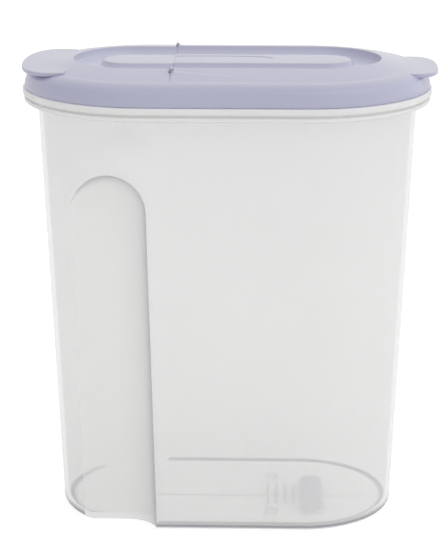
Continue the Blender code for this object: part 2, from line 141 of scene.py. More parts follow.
LIFT_TAB_X = 0.0895
LIFT_TAB_HALF_X = 0.0130
LIFT_TAB_HALF_Y = 0.0240
LIFT_TAB_SQUARENESS = 2.8
LIFT_TAB_Z = 0.2269

# Pour flap, its deck and the pour opening
SEAM_X = -0.0255
FLAP_DROP = 0.00035
LEDGE_Z = 0.2255
LEDGE_RADIUS = 0.0507
LEDGE_BLOCK_RADIUS = 0.0530
SUMP_Z = 0.2225
SUMP_RADIUS = 0.0460
DECK_WALL = 0.0016
FLAP_FLOOR_Z = 0.2247
TONGUE_X = -0.0830
TONGUE_HALF_X = 0.0168
TONGUE_HALF_Y = 0.0335
TONGUE_SQUARENESS = 2.3
TONGUE_ROOM = 0.0004             # play all round the tongue
TONGUE_ROOT_X = -0.0765
TONGUE_Z = 0.2283
SPOUT_X = -0.0570
SPOUT_HALF_X = 0.0200
SPOUT_HALF_Y = 0.0320
SPOUT_SQUARENESS = 3.0
COLLAR_WALL = 0.0012
COLLAR_TOP_Z = 0.2234
PLUG_GAP = 0.0007
PLUG_BOTTOM_Z = 0.2216
PLUG_WALL = 0.0020
PLUG_FLANGE = 0.0018             # reach of the plug's root past the spout's outline
PLUG_ROOT = 0.0013

# Hinge of the flap
HINGE_X = SEAM_X - GAP / 2
HINGE_Z = 0.2304
KNUCKLE_RADIUS = 0.00095
BORE_RADIUS = 0.0006
PIN_RADIUS = 0.0004
KNUCKLE_SPANS = ((0.0310, 0.0323), (0.0326, 0.0352), (0.0355, 0.0368))   # lid, flap, lid
PIN_SPAN = (0.0312, 0.0366)
BORE_SPAN = (0.0300, 0.0378)
NOTCH_REACH = 0.00100
NOTCH_DEPTH = 0.0034
KNUCKLE_STEPS = 20
PIN_END_ROUND = 0.0002
LEAF_START = 0.0004
LEAF_DEPTH = 0.0030
LEAF_TOP = 0.0016
LEAF_REACH = 0.0032
SEAM_GAP = 0.00010               # what shows of the joint between flap and lid
BELOW_LID_Z = 0.200

# Seals
SEAL_INNER = 0.0548
SEAL_OUTER = 0.0570
SEAL_ROUND = 0.0004
FLAP_SEAL_REACH = 0.0015
FLAP_SEAL_ROUND = 0.0002

# Marks on the tub's floor
MARK_HEIGHT = 0.0004
MARK_Z = TUB_FLOOR - 0.00005
BARS_START = (0.0214, -0.0026, MARK_Z)
BAR_PITCH = 0.0044
BAR_SIZE = (0.0240, 0.0012)      # length, width
FIELD_START = (0.0435, -0.0015, MARK_Z)
FIELD_SIZE = (0.0450, 0.0110)
RING_X = 0.0232
RING_PLACES = (("rear", 0.0203), ("front", -0.0261))
RING_RADIUS = 0.0032
RING_HALF_WIDTH = 0.0003
RING_STEPS = 40

# Bands of height where the plastic hides more, and where shade or light is painted on it
BAND_INPUTS = ("Start", "Full", "Fade", "End")
ABOVE_ALL = 2 * FAR
RIM_BAND = (0.2088, 0.2100, FAR, ABOVE_ALL)
LEDGE_BAND = (0.2088, 0.2096, 0.2102, 0.2108)
GROOVE_BAND = (0.2122, 0.2130, 0.2138, 0.2146)
FOOT_BAND = (0.0012, 0.0020, 0.0028, 0.0062)
FILLET_BAND = (0.0022, 0.0025, 0.0030, 0.0038)
WELL_BAND = (0.2250, 0.2258, 0.2266, 0.2298)
OUTSIDE_REACH = 0.0444           # between the inner and the outer face of the wall's foot
FILLET_REACH = 0.0404
WELL_REACH = CREST_RADIUS - 0.0002
# Painted shade: dark colour put on the tub's foot, along its groove and ledge, and at the grip
# edges
PAINTED_SHADE = (0.30, 0.30, 0.33, 1.0)
# Painted light: pale colour put in the lid's well, standing in for light through its thin wall
PAINTED_WELL_LIGHT = (0.82, 0.83, 0.93, 1.0)

# Stage
FLOOR_HALF = 4.0
FLOOR_Z = -0.0002                # just under the tub, so that the two faces don't mix
KEY_PLACE = (0.55, -0.45, 1.15)
KEY_AIM = (0.0, 0.0, 0.12)
KEY_SIZE = (1.2, 0.9)
SKY_LEAN = (0.22, 0.05, -0.10)   # rise in brightness towards +X, +Y and +Z
CAMERA_PLACE = (0.0243, -0.9428, 0.3994)
CAMERA_TILT = math.radians(73.47)
CAMERA_TURN = math.radians(1.57)
CAMERA_LENS = 127.8


# Settings -------------------------------------------------

class CANISTER_PG_settings(bpy.types.PropertyGroup):
    """What a user would change: fineness, colours and light."""
    round_steps: IntProperty(
        name="Round Steps", description="Facets in each half-round end", default=56, min=16)
    corner_steps: IntProperty(
        name="Corner Steps", description="Facets in each rounded corner", default=5, min=2)
    tub_colour: FloatVectorProperty(
        name="Tub", description="Colour of the tub's plastic", subtype="COLOR", size=4,
        min=0.0, max=1.0, default=(0.92, 0.918, 0.905, 1.0))
    tub_alpha: FloatProperty(
        name="Tub Density", description="How much each face of the tub's wall hides",
        subtype="FACTOR", default=0.35, min=0.0, max=1.0)
    rim_density: FloatProperty(
        name="Rim Density", description="How much more the tub's thick rim and base hide",
        subtype="FACTOR", default=0.5, min=0.0, max=1.0)
    lid_colour: FloatVectorProperty(
        name="Lid", description="Colour of the lid's plastic", subtype="COLOR", size=4,
        min=0.0, max=1.0, default=(0.485, 0.49, 0.65, 1.0))
    seal_colour: FloatVectorProperty(
        name="Seals", description="Colour of both seal rings", subtype="COLOR", size=4,
        min=0.0, max=1.0, default=(0.72, 0.72, 0.74, 1.0))
    mark_colour: FloatVectorProperty(
        name="Marks", description="Colour of the marks on the floor", subtype="COLOR", size=4,
        min=0.0, max=1.0, default=(0.62, 0.62, 0.67, 1.0))
    floor_colour: FloatVectorProperty(
        name="Floor", description="Colour of the floor", subtype="COLOR", size=4,
        min=0.0, max=1.0, default=(0.95, 0.95, 0.95, 1.0))
    floor_glow: FloatProperty(
        name="Floor Glow", description="Light that the floor gives off", default=0.36, min=0.0)
    sky_strength: FloatProperty(
        name="Sky", description="Brightness of the light all round", default=0.87, min=0.0)
    key_power: FloatProperty(
        name="Key Light", description="Power of the large soft light", unit="POWER",
        default=1.0, min=0.0)


def settings():
    return bpy.context.scene.canister


# Outlines and solids --------------------------------------

def tub_radius(z):
    """End radius of the tub's outer wall at height z."""
    return TUB_RADIUS + TUB_DRAFT * z


def stadium(half_run, radius, z):
    """Points of an outline with two half-round ends, seen from above."""
    steps = settings().round_steps
    points = []
    for side in (1, -1):
        for step in range(steps + 1):
            angle = math.pi * (step / steps - 0.5)
            x = side * (half_run + radius * math.cos(angle))
            points.append((x, side * radius * math.sin(angle), z))
    return points


def left_end(radius, z, right_x):
    """The left end of a stadium, cut off by a straight edge at right_x."""
    steps = settings().round_steps
    points = [(right_x, radius, z)]
    for step in range(steps + 1):
        angle = math.pi * (step / steps + 0.5)
        points.append((-HALF_RUN + radius * math.cos(angle), radius * math.sin(angle), z))
    points.append((right_x, -radius, z))
    return points


def oblong(centre_x, half_x, half_y, squareness, z):
    """A superellipse, between an ellipse and a rectangle."""
    steps = 2 * settings().round_steps
    points = []
    for step in range(steps):
        angle = 2 * math.pi * step / steps
        cos, sin = math.cos(angle), math.sin(angle)
        x = math.copysign(abs(cos) ** (2 / squareness), cos)
        y = math.copysign(abs(sin) ** (2 / squareness), sin)
        points.append((centre_x + half_x * x, half_y * y, z))
    return points


def spout(grow, z):
    """Outline of the pour opening, grown by the given distance."""
    return oblong(SPOUT_X, SPOUT_HALF_X + grow, SPOUT_HALF_Y + grow, SPOUT_SQUARENESS, z)


def rounded(corners):
    """Turn corners, each ending in its rounding length, into a path with soft corners."""
    steps = settings().corner_steps
    path = []
    points = [Vector(corner[:-1]) for corner in corners]
    for index, corner in enumerate(corners):
        here, reach = points[index], corner[-1]
        if not reach:
            path.append(here)
            continue
        before = here + (points[index - 1] - here).normalized() * reach
        beyond = points[(index + 1) % len(points)]
        after = here + (beyond - here).normalized() * reach
        for step in range(steps + 1):
            share = step / steps
            path.append(before.lerp(here, share).lerp(here.lerp(after, share), share))
    return path


def new_object(name, mesh):
    """Link a mesh to the scene, shaded smooth but for its sharp edges."""
    mesh.shade_smooth()
    mesh.set_sharp_from_angle(angle=SHARP_ANGLE)
    item = bpy.data.objects.new(name, mesh)
    bpy.context.scene.collection.objects.link(item)
    return item


def from_shape(name, shape):
    """Object with the mesh of a bmesh, normals out; the bmesh is freed."""
    bmesh.ops.recalc_face_normals(shape, faces=shape.faces)
    mesh = bpy.data.meshes.new(name)
    shape.to_mesh(mesh)
    shape.free()
    return new_object(name, mesh)


def bridge(shape, rings):
    """Add the faces between each ring of points and the next."""
    count = len(rings[0])
    for lower, upper in zip(rings, rings[1:]):
        for index in range(count):
            after = (index + 1) % count
            shape.faces.new((lower[index], lower[after], upper[after], upper[index]))


def loft(name, sections):
    """Closed solid through a stack of outlines that have the same number of points."""
    shape = bmesh.new()
    rings = [[shape.verts.new(point) for point in section] for section in sections]
    bridge(shape, rings)
    shape.faces.new(reversed(rings[0]))
    shape.faces.new(rings[-1])
    return from_shape(name, shape)


def block(name, low, high):
    """Box between two corners."""
    shape = bmesh.new()
    bmesh.ops.create_cube(shape, size=1.0)
    size = Vector(high) - Vector(low)
    middle = (Vector(high) + Vector(low)) / 2
    shape.transform(Matrix.Translation(middle) @ Matrix.Diagonal((*size, 1.0)))
    return from_shape(name, shape)


def rod(name, radius, low_y, high_y, round_end=0.0):
    """Cylinder along Y on the hinge line, with its end edges rounded."""
    length = high_y - low_y
    corners = [(0.0, low_y, 0.0), (radius, low_y, round_end), (radius, high_y, round_end),
               (0.0, high_y, 0.0)]
    turns = [2 * math.pi * step / HINGE_LINE_STEPS for step in range(HINGE_LINE_STEPS)]
    sections = []
    for reach, y in rounded(corners):
        reach = max(reach, length * 1e-4)
        sections.append([(HINGE_X + reach * math.cos(turn), y, HINGE_Z + reach * math.sin(turn))
                         for turn in turns])
    return loft(name, sections)


def cut(item, operation, *tools):
    """Combine an object with its tools for good, and remove the tools."""
    for tool in tools:
        step = item.modifiers.new(tool.name, "BOOLEAN")
        step.operation = operation
        step.solver = "MANIFOLD"
        step.material_mode = "TRANSFER"
        step.object = tool
    settle(item)
    for tool in tools:
        bpy.data.objects.remove(tool, do_unlink=True)
    return item


def settle(item):
    """Replace an object's mesh by what its modifiers make of it."""
    depsgraph = bpy.context.evaluated_depsgraph_get()
    mesh = bpy.data.meshes.new_from_object(item.evaluated_get(depsgraph))
    item.modifiers.clear()
    item.data = mesh
    return item


def coat(item, material):
    """Give an object one material only."""
    item.data.materials.clear()
    item.data.materials.append(material)
    return item


def finish_piece(item, body, slot, *nodes):
    """Smooth a piece, hang it on its body and let it stand for its CAD nodes."""
    shape = bmesh.new()
    shape.from_mesh(item.data)
    bmesh.ops.remove_doubles(shape, verts=shape.verts, dist=MERGE_DISTANCE)
    bmesh.ops.dissolve_degenerate(shape, edges=shape.edges, dist=MERGE_DISTANCE)
    shape.to_mesh(item.data)
    shape.free()
    item.data.shade_smooth()
    item.data.set_sharp_from_angle(angle=SHARP_ANGLE)
    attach(item, body)
    if nodes:
        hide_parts(*nodes)


# Node trees -----------------------------------------------

def new_group(name, kind, inputs, outputs):
    """New node group and the sockets of its inputs, each given as a name, kind and default."""
    tree = bpy.data.node_groups.new(name, kind)
    for in_out, sockets in (("INPUT", inputs), ("OUTPUT", outputs)):
        for title, sort, *default in sockets:
            socket = tree.interface.new_socket(
                title, in_out=in_out, socket_type=f"NodeSocket{sort}")
            if default:
                socket.default_value = default[0]
    return tree, tree.nodes.new("NodeGroupInput").outputs


def shared(name, build):
    """Node group of that name, built at its first use."""
    return bpy.data.node_groups.get(name) or build()


def chain(tree, kind, inputs=None, **facts):
    """Add a node, set its facts, and fill or link its inputs by name or number.

    A node given as an input stands for its first output.
    """
    node = tree.nodes.new(kind)
    for name, value in facts.items():
        setattr(node, name, value)
    for key, value in (inputs or {}).items():
        if isinstance(value, bpy.types.Node):
            value = value.outputs[0]
        if isinstance(value, bpy.types.NodeSocket):
            tree.links.new(value, node.inputs[key])
        else:
            node.inputs[key].default_value = value
    return node


def calculate(tree, operation, first, second, clamp=False):
    """Result of one sum on two sockets or numbers."""
    return chain(tree, "ShaderNodeMath", {0: first, 1: second}, operation=operation,
                 use_clamp=clamp).outputs[0]


def deliver(tree, results):
    """End a node group in its named outputs."""
    chain(tree, "NodeGroupOutput", results)
    return tree


def run_nodes(item, tree, values):
    """Run geometry nodes on an object for good, with their inputs given by name."""
    step = item.modifiers.new(tree.name, "NODES")
    step.node_group = tree
    for socket in tree.interface.items_tree:
        if socket.name in values and socket.in_out == "INPUT":
            step[socket.identifier] = values[socket.name]
    return settle(item)


def sweep_tree():
    """Geometry nodes that carry a flat profile, drawn as radius and height, round a stadium."""
    tree, source = new_group("stadium_sweep", "GeometryNodeTree", [
        ("Profile", "Geometry"), ("Half Run", "Float", HALF_RUN),
        ("Path Radius", "Float", TUB_RADIUS), ("Corner Count", "Int", 28),
        ("Material", "Material")], [("Geometry", "Geometry")])
    reach = calculate(tree, "ADD", source["Half Run"], source["Path Radius"])
    length = calculate(tree, "MULTIPLY", reach, 2.0)
    width = calculate(tree, "MULTIPLY", source["Path Radius"], 2.0)
    frame_curve = chain(tree, "GeometryNodeCurvePrimitiveQuadrilateral",
                        {"Width": length, "Height": width}).outputs["Curve"]
    path = chain(tree, "GeometryNodeFilletCurve",
                 {"Curve": frame_curve, "Radius": source["Path Radius"],
                  "Count": source["Corner Count"], "Limit Radius": True}, mode="POLY")
    upright = chain(tree, "GeometryNodeSetCurveNormal", {"Curve": path},
                    mode="Z_UP")
    profile = chain(tree, "GeometryNodeMeshToCurve", {"Mesh": source["Profile"]})
    swept = chain(tree, "GeometryNodeCurveToMesh",
                  {"Curve": upright, "Profile Curve": profile})
    merged = chain(tree, "GeometryNodeMergeByDistance",
                   {"Geometry": swept, "Distance": 1e-5})
    real = chain(tree, "GeometryNodeRealizeInstances", {"Geometry": merged})
    coated = chain(tree, "GeometryNodeSetMaterial",
                   {"Geometry": real, "Material": source["Material"]})
    return deliver(tree, {"Geometry": coated})


def sweep(name, profile, path_radius, material, ring=True):
    """Solid from a profile of (radius, height) points carried round the stadium.

    A ring has a closed profile; any other solid has an open one, and flat ends.
    """
    mesh = bpy.data.meshes.new(name)
    points = [(radius - path_radius, -height, 0.0) for radius, height in profile]
    edges = [(index, index + 1) for index in range(len(points) - 1)]
    if ring:
        edges.append((len(points) - 1, 0))
    mesh.from_pydata(points, edges, [])
    item = new_object(name, mesh)
    run_nodes(item, shared("stadium_sweep", sweep_tree),
              {"Path Radius": path_radius, "Material": material,
               "Corner Count": settings().round_steps // 2})
    shape = bmesh.new()
    shape.from_mesh(item.data)
    bmesh.ops.holes_fill(shape, edges=[edge for edge in shape.edges if edge.is_boundary])
    bmesh.ops.recalc_face_normals(shape, faces=shape.faces)
    shape.to_mesh(item.data)
    shape.free()
    return item


# Materials ------------------------------------------------

def moulded_group():
    """Shader group for moulded plastic: cloudy colour, uneven polish and a fine skin."""
    tree, source = new_group("moulded_plastic", "ShaderNodeTree", [
        ("Colour", "Color", (0.8, 0.8, 0.8, 1.0)), ("Cloud", "Float", 0.06),
        ("Roughness", "Float", 0.35), ("Polish Spread", "Float", 0.08),
        ("Grain Scale", "Float", 900.0)],
        [("Colour", "Color"), ("Roughness", "Float"), ("Height", "Float")])
    place = tree.nodes.new("ShaderNodeTexCoord").outputs["Object"]
    cloud = chain(tree, "ShaderNodeTexNoise", {"Vector": place, "Scale": 22.0, "Detail": 3.0})
    shade = chain(tree, "ShaderNodeMapRange",
                  {"Value": cloud, "From Min": 0.3, "From Max": 0.7,
                   "To Min": 0.0, "To Max": 1.0})
    amount = calculate(tree, "MULTIPLY", shade, source["Cloud"])
    tint = chain(tree, "ShaderNodeMix",
                 {"Factor": amount, 6: source["Colour"], 7: (0.25, 0.25, 0.30, 1.0)},
                 data_type="RGBA")
    wipe = chain(tree, "ShaderNodeMapping", {"Vector": place, "Scale": (6.0, 6.0, 1.2)})
    smear = chain(tree, "ShaderNodeTexNoise",
                  {"Vector": wipe, "Scale": 9.0, "Detail": 5.0})
    centred = calculate(tree, "SUBTRACT", smear, 0.5)
    spread = calculate(tree, "MULTIPLY", centred, source["Polish Spread"])
    polish = calculate(tree, "ADD", spread, source["Roughness"], clamp=True)
    grain = chain(tree, "ShaderNodeTexNoise",
                  {"Vector": place, "Scale": source["Grain Scale"], "Detail": 2.0})
    return deliver(tree, {"Colour": tint.outputs[2], "Roughness": polish,
                          "Height": grain})


def band_group():
    """Shader group for a band of height that rises, holds and falls again."""
    tree, source = new_group("height_band", "ShaderNodeTree",
                             [(name, "Float", 0.0) for name in BAND_INPUTS], [("Band", "Float")])
    place = tree.nodes.new("ShaderNodeTexCoord").outputs["Object"]
    height = chain(tree, "ShaderNodeSeparateXYZ", {"Vector": place}).outputs["Z"]
    rise = chain(tree, "ShaderNodeMapRange",
                 {"Value": height, "From Min": source["Start"], "From Max": source["Full"],
                  "To Min": 0.0, "To Max": 1.0})
    fall = chain(tree, "ShaderNodeMapRange",
                 {"Value": height, "From Min": source["Fade"], "From Max": source["End"],
                  "To Min": 1.0, "To Max": 0.0})
    band = calculate(tree, "MULTIPLY", rise, fall)
    return deliver(tree, {"Band": band})


def reach_group():
    """Shader group for the distance from the straight run, as a stadium's radius has it."""
    tree, source = new_group("stadium_reach", "ShaderNodeTree",
                             [("Half Run", "Float", HALF_RUN)], [("Reach", "Float")])
    place = tree.nodes.new("ShaderNodeTexCoord").outputs["Object"]
    part = chain(tree, "ShaderNodeSeparateXYZ", {"Vector": place}).outputs
    run = chain(tree, "ShaderNodeMath", {0: part["X"]}, operation="ABSOLUTE").outputs[0]
    past = calculate(tree, "SUBTRACT", run, source["Half Run"], clamp=True)
    flat = chain(tree, "ShaderNodeCombineXYZ", {"X": past, "Y": part["Y"]}).outputs["Vector"]
    reach = chain(tree, "ShaderNodeVectorMath", {0: flat}, operation="LENGTH").outputs["Value"]
    return deliver(tree, {"Reach": reach})


def height_band(tree, band):
    """Mask of a band of height: start, full, fade, end."""
    return chain(tree, "ShaderNodeGroup", dict(zip(BAND_INPUTS, band)),
                 node_tree=shared("height_band", band_group)).outputs["Band"]


def stadium_reach(tree, half_run):
    """Distance of each point from a straight run of the given half length."""
    return chain(tree, "ShaderNodeGroup", {"Half Run": half_run},
                 node_tree=shared("stadium_reach", reach_group)).outputs["Reach"]


def plastic(name, colour, roughness, grain=900.0, bump=0.02, cloud=0.06, coat=0.0):
    """Principled plastic fed by the moulded-plastic group."""
    material = bpy.data.materials.new(name)
    material.use_nodes = True
    tree = material.node_tree
    shader = tree.nodes["Principled BSDF"]
    skin = chain(tree, "ShaderNodeGroup",
                 {"Colour": colour, "Roughness": roughness, "Grain Scale": grain,
                  "Cloud": cloud}, node_tree=shared("moulded_plastic", moulded_group))
    ripple = chain(tree, "ShaderNodeBump",
                   {"Height": skin.outputs["Height"], "Strength": bump, "Distance": 0.0002})
    tree.links.new(skin.outputs["Colour"], shader.inputs["Base Color"])
    tree.links.new(skin.outputs["Roughness"], shader.inputs["Roughness"])
    tree.links.new(ripple.outputs["Normal"], shader.inputs["Normal"])
    shader.inputs["IOR"].default_value = 1.49
    shader.inputs["Coat Weight"].default_value = coat
    shader.inputs["Coat Roughness"].default_value = 0.25
    return material


def milky_plastic(name):
    """Plain milky plastic of the tub, before its density is set."""
    return plastic(name, settings().tub_colour, 0.30, grain=600.0, bump=0.015, cloud=0.02)


def wall_alpha(material, alpha):
    """Feed a see-through wall's alpha, thinned for all rays but the camera's own."""
    tree = material.node_tree
    seen = tree.nodes.new("ShaderNodeLightPath").outputs["Is Camera Ray"]
    share = chain(tree, "ShaderNodeMapRange", {"Value": seen, "To Min": 0.35, "To Max": 1.0})
    thinned = calculate(tree, "MULTIPLY", alpha, share, clamp=True)
    tree.links.new(thinned, tree.nodes["Principled BSDF"].inputs["Alpha"])


def shift_colour(material, mask, amount, colour):
    """Move a material's colour towards another where the mask is high."""
    tree = material.node_tree
    shader = tree.nodes["Principled BSDF"]
    before = shader.inputs["Base Color"].links[0].from_socket
    share = calculate(tree, "MULTIPLY", mask, amount, clamp=True)
    mixed = chain(tree, "ShaderNodeMix", {"Factor": share, 6: before, 7: colour},
                  data_type="RGBA")
    tree.links.new(mixed.outputs[2], shader.inputs["Base Color"])


def tub_plastic():
    """Milky, see-through plastic that hides more in its thick rim and foot, with painted shade at
    its foot and along its groove and ledge.
    """
    values = settings()
    material = milky_plastic("milky_shell")
    tree = material.node_tree
    reach = stadium_reach(tree, HALF_RUN)
    outside = calculate(tree, "GREATER_THAN", reach, OUTSIDE_REACH)
    behind = tree.nodes.new("ShaderNodeNewGeometry").outputs["Backfacing"]
    near = calculate(tree, "SUBTRACT", outside, behind, clamp=True)
    corner = calculate(tree, "GREATER_THAN", reach, FILLET_REACH)
    within = calculate(tree, "SUBTRACT", corner, outside, clamp=True)
    near_foot = calculate(tree, "MULTIPLY", near, height_band(tree, FOOT_BAND))
    fillet = calculate(tree, "MULTIPLY", within, height_band(tree, FILLET_BAND))
    foot = calculate(tree, "ADD", near_foot, fillet, clamp=True)
    thick = calculate(tree, "ADD", height_band(tree, RIM_BAND), foot)
    dense = calculate(tree, "MULTIPLY", thick, values.rim_density)
    wall_alpha(material, calculate(tree, "ADD", dense, values.tub_alpha))
    # Painted shade at the foot of the wall and round the edge of the floor
    shift_colour(material, foot, 1.0, PAINTED_SHADE)
    # Painted shade along the groove and under the bead
    lines = calculate(tree, "ADD", height_band(tree, GROOVE_BAND),
                      height_band(tree, LEDGE_BAND))
    shift_colour(material, lines, 0.3, PAINTED_SHADE)
    return material


def grip_plastic():
    """The tub's plastic in the grips: denser from outside, most of all where edge-on, with painted
    shade where the scoop turns edge-on.
    """
    material = milky_plastic("milky_grip")
    tree = material.node_tree
    facing = chain(tree, "ShaderNodeLayerWeight", {"Blend": 0.5}).outputs["Facing"]
    turned = calculate(tree, "POWER", facing, 2.0)
    outer = chain(tree, "ShaderNodeMapRange", {"Value": turned, "To Min": 0.62, "To Max": 0.95})
    behind = tree.nodes.new("ShaderNodeNewGeometry").outputs["Backfacing"]
    alpha = chain(tree, "ShaderNodeMix",
                  {"Factor": behind, "A": outer, "B": settings().tub_alpha})
    wall_alpha(material, alpha)
    # Painted shade where the scoop's wall is seen edge-on, darkest at its outline
    clear = calculate(tree, "SUBTRACT", 1.0, calculate(tree, "MULTIPLY", turned, 0.7))
    edge = calculate(tree, "SUBTRACT", 1.0, calculate(tree, "POWER", clear, 2.0))
    shift_colour(material, edge, 1.0, PAINTED_SHADE)
    return material


def lid_plastic(name):
    """Satin lavender plastic of lid and flap, with painted light in the well, standing in for light
    through its thin wall.
    """
    material = plastic(name, settings().lid_colour, 0.38, grain=1400.0, bump=0.03, cloud=0.03,
                       coat=1.0)
    tree = material.node_tree
    inside = calculate(tree, "LESS_THAN", stadium_reach(tree, WELL_RUN), WELL_REACH)
    well = calculate(tree, "MULTIPLY", height_band(tree, WELL_BAND), inside)
    # Painted light: the well is paled as if lit through its thin wall
    shift_colour(material, well, 0.5, PAINTED_WELL_LIGHT)
    return material


# Tub ------------------------------------------------------

def tub_profile():
    """Outside of the tub from its base up over its neck, as (radius, height) points."""
    corners = [
        (TUB_RADIUS / 2, 0.0, 0.0),
        (TUB_RADIUS, 0.0, FOOT_ROUND),
        (tub_radius(WALL_TOP_Z), WALL_TOP_Z, 0.0008),
        (BEAD_RADIUS, BEAD_LOW_Z, 0.0007),
        (BEAD_RADIUS, BEAD_HIGH_Z, 0.0005),
        (GROOVE_RADIUS, GROOVE_LOW_Z, 0.0002),
        (GROOVE_RADIUS, GROOVE_HIGH_Z, 0.0002),
        (FLANGE_RADIUS, FLANGE_LOW_Z, 0.0005),
        (FLANGE_RADIUS, FLANGE_TOP_Z, 0.0007),
        (NECK_RADIUS, FLANGE_TOP_Z, 0.0005),
        (NECK_RADIUS, SNAP_LOW_Z, 0.0002),
        (NECK_RADIUS + SNAP_BEAD, SNAP_LOW_Z + SNAP_BEAD, 0.0002),
        (NECK_RADIUS + SNAP_BEAD, SNAP_HIGH_Z, 0.0002),
        (NECK_RADIUS, SNAP_HIGH_Z + SNAP_BEAD, 0.0002),
        (NECK_RADIUS - SNAP_BEAD, NECK_TOP_Z, 0.0003),
        (TUB_RADIUS / 2, NECK_TOP_Z, 0.0),
    ]
    return [(point.x, point.y) for point in rounded(corners)]


def grip_tool(name, side, grow):
    """Scoop for one grip recess, grown by the given distance."""
    radius = GRIP_RADIUS + grow
    depths = [(-GRIP_REACH, 0.0)]
    for step in range(GRIP_STEPS + 1):
        angle = math.pi / 2 * step / GRIP_STEPS
        depths.append(((GRIP_DEPTH + grow) * math.sin(angle), 1 - math.cos(angle)))
    sections = []
    for depth, share in depths:
        right = radius - share * GRIP_SIDE_SWEEP
        top = radius - share * GRIP_TOP_SWEEP
        foot_x = GRIP_X + right + GRIP_SPREAD * (GRIP_ARCH_Z - GRIP_FOOT_Z)
        outline = [(GRIP_X - radius, GRIP_FOOT_Z), (foot_x, GRIP_FOOT_Z)]
        for step in range(2 * GRIP_STEPS + 1):
            angle = math.pi / 2 * step / GRIP_STEPS
            reach = right if angle < math.pi / 2 else radius
            outline.append((GRIP_X + reach * math.cos(angle),
                            GRIP_ARCH_Z + top * math.sin(angle)))
        sections.append([(x, side * (tub_radius(z) - depth), z) for x, z in outline])
    return loft(name, sections)


def tub_hollow():
    """Solid of the tub's inside, less the walls behind the grips."""
    corners = [(HOLLOW_CENTRE_RADIUS, TUB_FLOOR, 0.0),
               (TUB_RADIUS - TUB_WALL, TUB_FLOOR, HOLLOW_FOOT_ROUND),
               (tub_radius(HOLLOW_TOP_Z) - TUB_WALL, HOLLOW_TOP_Z, 0.0010),
               (NECK_BORE, HOLLOW_NECK_Z, 0.0010),
               (NECK_BORE, NECK_TOP_Z - NECK_CHAMFER, 0.0),
               (NECK_BORE + NECK_CHAMFER, NECK_TOP_Z, 0.0),
               (NECK_BORE + NECK_CHAMFER + 0.0001, FAR, 0.0)]
    sections = [stadium(HALF_RUN, point.x, point.y) for point in rounded(corners)]
    hollow = loft("hollow", sections)
    tools = [grip_tool(f"wall_{side}", side, TUB_WALL) for side in (-1, 1)]
    return cut(hollow, "DIFFERENCE", *tools)


def build_tub():
    """Tub with its rim, neck and both grip recesses."""
    material = tub_plastic()
    tub = sweep("tub_shell", tub_profile(), TUB_RADIUS, material, ring=False)
    coat(tub, material)
    lining = grip_plastic()
    scoops = [coat(grip_tool(f"grip_{side}", side, 0.0), lining) for side in (-1, 1)]
    cut(tub, "DIFFERENCE", *scoops)
    cut(tub, "DIFFERENCE", coat(tub_hollow(), material))
    finish_piece(tub, "tub", "tub_plastic", "tub")


# Lid ------------------------------------------------------

def top_corners(drop):
    """Corners of the moulded top, from its outer edge to the island: run, radius, height."""
    return [(HALF_RUN, TOP_EDGE_RADIUS, TOP_EDGE_Z, 0.0012),
            (CREST_RUN, CREST_RADIUS, CREST_Z - drop, 0.0010),
            (WELL_RUN, WELL_RADIUS, WELL_Z, 0.0009),
            (ISLAND_RUN, ISLAND_FOOT_RADIUS, WELL_Z, 0.0009),
            (ISLAND_RUN, ISLAND_RADIUS, ISLAND_Z - drop, 0.0007),
            (ISLAND_RUN, ISLAND_RADIUS / 2, ISLAND_Z - drop, 0.0)]


def lid_solid(name, drop=0.0):
    """Solid under the lid's whole outer surface."""
    corners = [(HALF_RUN, LID_RADIUS - 0.001, LID_BOTTOM_Z, 0.0),
               (HALF_RUN, LID_RADIUS, LID_BOTTOM_Z, LID_EDGE),
               (HALF_RUN, LID_RADIUS - SKIRT_DRAFT, LID_BOTTOM_Z + SKIRT_DRAFT_RISE, 0.0)]
    for step in range(SHOULDER_STEPS):
        angle = math.pi / 2 * step / SHOULDER_STEPS
        reach = (SHOULDER_RADIUS - TOP_EDGE_RADIUS) * math.cos(angle)
        rise = (TOP_EDGE_Z - SHOULDER_Z) * math.sin(angle)
        corners.append((HALF_RUN, TOP_EDGE_RADIUS + reach, SHOULDER_Z + rise, 0.0))
    sections = [stadium(*point) for point in rounded(corners + top_corners(drop))]
    return loft(name, sections)


def underside(drop=0.0):
    """Outlines of the underside of crest, well and island, one wall below the top."""
    rows = ((CREST_RUN, CREST_RADIUS + LID_WALL, CREST_Z - drop - LID_WALL),
            (WELL_RUN, WELL_RADIUS + LID_WALL, FLAP_FLOOR_Z),
            (WELL_RUN, ISLAND_FOOT_RADIUS - LID_WALL, FLAP_FLOOR_Z),
            (WELL_RUN, ISLAND_RADIUS - LID_WALL, ISLAND_Z - drop - LID_WALL))
    return [stadium(*row) for row in rows]


def stepped_end(name, narrow, wide, low_z, step_z, right_x):
    """Solid with the outline of a left end, wider from step_z up."""
    return loft(name, [left_end(narrow, low_z, right_x - OFFSET),
                       left_end(narrow, step_z, right_x - OFFSET),
                       left_end(wide, step_z, right_x), left_end(wide, FAR, right_x)])


